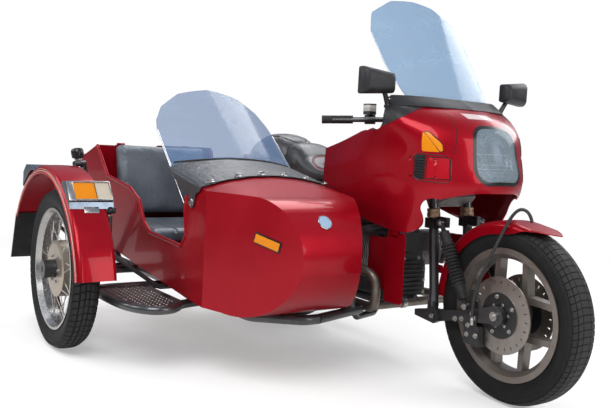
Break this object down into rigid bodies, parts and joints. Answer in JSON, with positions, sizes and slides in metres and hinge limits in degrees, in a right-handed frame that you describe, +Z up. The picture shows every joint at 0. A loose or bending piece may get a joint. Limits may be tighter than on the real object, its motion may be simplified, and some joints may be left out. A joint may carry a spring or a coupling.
{
  "type": "motorcycle with sidecar",
  "caption": "Touring motorcycle with fairing, twin-cylinder flat engine and a single-seat sidecar on its right with windscreen, soft apron, boot lid and its own sprung wheel.",
  "frame": {"origin": "centre of the outfit's footprint, on the ground", "axes": "+X forward along the motorcycle, +Y to the rider's left, +Z up; the sidecar is on the -Y side"},
  "size_m": [2.4683, 1.794, 1.5436],
  "materials": {
    "red_paint": "gloss",
    "cast_rim": "satin",
    "tyre": "matte",
    "disc_steel": "brushed",
    "black_metal": "satin",
    "bright_metal": "satin",
    "engine_metal": "cast",
    "steel": "brushed",
    "chrome": "polished",
    "black_plastic": "matte",
    "rubber": "matte",
    "clear": "clear",
    "amber": "gloss",
    "red_lens": "gloss",
    "vinyl": "satin"
  },
  "bodies": {
    "outfit": {"apron": "vinyl", "carburettors": "engine_metal", "cockpit_trim": "black_plastic", "cylinders": "bright_metal", "engine_block": "engine_metal", "exhaust_system": "chrome", "fairing": "red_paint", "fairing_indicators": "amber", "fairing_vents": "black_plastic", "footboard": "black_metal", "fuel_tank": "red_paint", "headlight_glass": "clear", "headlight_housing": "black_plastic", "leg_shields": "red_paint", "main_frame": "black_metal", "mirrors": "black_plastic", "mud_flap": "rubber", "rear_axle": "steel", "rear_fender": "black_plastic", "rear_shocks": "black_metal", "saddle": "vinyl", "side_fender": "red_paint", "side_lamps": "chrome", "side_lenses": "amber", "side_panels": "red_paint", "side_seat": "vinyl", "side_shock": "black_metal", "side_swingarm": "black_metal", "side_windscreen": "clear", "sidecar_body": "red_paint", "sidecar_frame": "black_metal", "swingarm": "black_metal", "tail_cowl": "red_paint", "tail_lamp": "red_lens", "windshield": "clear"},
    "steering": {"fork_legs": "black_metal", "fork_yokes": "bright_metal", "handlebar": "black_metal", "hand_grips": "rubber", "hand_controls": "black_plastic", "fork_arms": "bright_metal", "front_axle": "steel", "front_shocks": "black_metal", "brake_calipers": "black_metal", "front_fender": "red_paint", "brake_hose": "rubber"},
    "front_wheel": {"front_rim": "cast_rim", "front_tyre": "tyre", "front_discs": "disc_steel"},
    "rear_wheel": {"rear_rim": "cast_rim", "rear_tyre": "tyre"},
    "sidecar_wheel": {"side_rim": "chrome", "side_tyre": "tyre", "side_hub": "black_metal", "side_spokes": "steel"},
    "boot": {"boot_lid": "red_paint"}
  },
  "joints": [
    {"name": "steer", "type": "hinge", "parent": "outfit", "child": "steering", "pos_m": [0.96476, 0.439, 0], "axis": [-0.454, 0, 0.891], "range_deg": [-24.2, 31.8]},
    {"name": "front_wheel_spin", "type": "hinge", "parent": "steering", "child": "front_wheel", "pos_m": [0.90457, 0.43261, 0.3299], "axis": [0.0591, 0.9978, 0.0301], "continuous": true},
    {"name": "rear_wheel_spin", "type": "hinge", "parent": "outfit", "child": "rear_wheel", "pos_m": [-0.56024, 0.439, 0.33], "axis": [0, 1, 0], "continuous": true},
    {"name": "sidecar_wheel_spin", "type": "hinge", "parent": "outfit", "child": "sidecar_wheel", "pos_m": [-0.44024, -0.812, 0.335], "axis": [0, 1, 0], "continuous": true},
    {"name": "boot_lid_hinge", "type": "hinge", "parent": "outfit", "child": "boot", "pos_m": [-1.00624, 0.439, 0.859], "axis": [0, 1, 0], "range_deg": [0, 80]}
  ]
}
